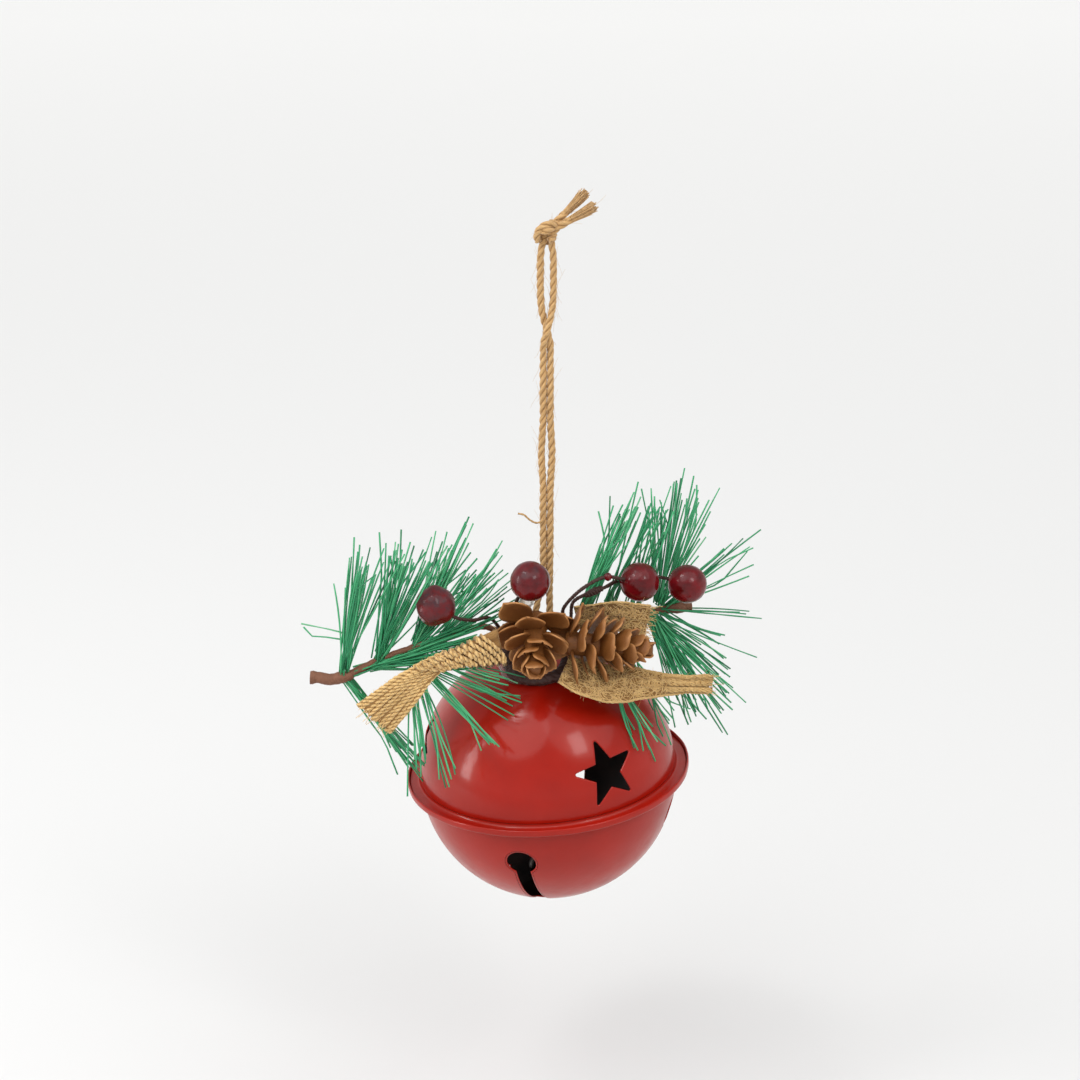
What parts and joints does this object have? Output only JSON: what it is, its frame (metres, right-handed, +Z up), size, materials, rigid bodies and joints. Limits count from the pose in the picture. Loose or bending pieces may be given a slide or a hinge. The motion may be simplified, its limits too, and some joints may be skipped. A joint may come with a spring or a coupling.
{
  "type": "christmas bell ornament",
  "caption": "Hanging jingle bell of two pressed red shells with star and keyhole cut-outs, on a twine loop, with pine, cones, berries and ribbon at its crown.",
  "frame": {"origin": "where the twine loop bears on its hook, just under the knot", "axes": "+Z up along the hanging twine; +X to the right across the spray, -Y towards the front"},
  "size_m": [0.1488, 0.088, 0.2247],
  "materials": {
    "red_paint": "satin",
    "steel_wire": "drawn",
    "steel_ball": "tumbled",
    "twine": "twisted jute",
    "stem_tape": "wound tape on wire",
    "clear_glue": "clear gloss",
    "pinecone": "dry, natural",
    "berry": "frosted gloss",
    "sprig_tape": "wound paper tape",
    "needles": "satin",
    "ribbon": "open woven jute"
  },
  "bodies": {
    "hanger": {"twine_left": "twine", "twine_right": "twine", "twine_knot": "twine", "twine_tails": "twine"},
    "bight": {"twine_bight": "twine"},
    "bell": {"upper_shell": "red_paint", "lower_shell": "red_paint", "hanging_eye": "steel_wire", "stem_binding": "stem_tape", "glue_ring": "clear_glue", "glue_drop": "clear_glue", "front_pinecone": "pinecone", "side_pinecone": "pinecone", "berry_left": "berry", "berry_middle": "berry", "berry_right": "berry", "berry_far_right": "berry", "stem_left": "stem_tape", "stem_middle": "stem_tape", "stem_right": "stem_tape", "stem_far_right": "stem_tape", "stem_bud": "berry", "stem_wrap": "stem_tape", "left_sprig_stem": "sprig_tape", "left_sprig_needles": "needles", "right_sprig_stem": "sprig_tape", "right_sprig_needles": "needles", "ribbon_left": "ribbon", "ribbon_upper": "ribbon", "ribbon_lower": "ribbon"},
    "jingle_ball": {"jingle_ball": "steel_ball"}
  },
  "joints": [
    {"name": "twine_twist", "type": "hinge", "parent": "hanger", "child": "bight", "pos_m": [0, 0, -0.088], "axis": [0, 0, 1], "range_deg": [-90, 90]},
    {"name": "bell_tilt", "type": "hinge", "parent": "bight", "child": "bell", "pos_m": [-0.0012, 0, -0.1155], "axis": [0, 1, 0], "range_deg": [-12, 12]},
    {"name": "ball_roll", "type": "hinge", "parent": "bell", "child": "jingle_ball", "pos_m": [0.00051, 0, -0.16559], "axis": [0, 1, 0], "range_deg": [-75, 75]}
  ]
}
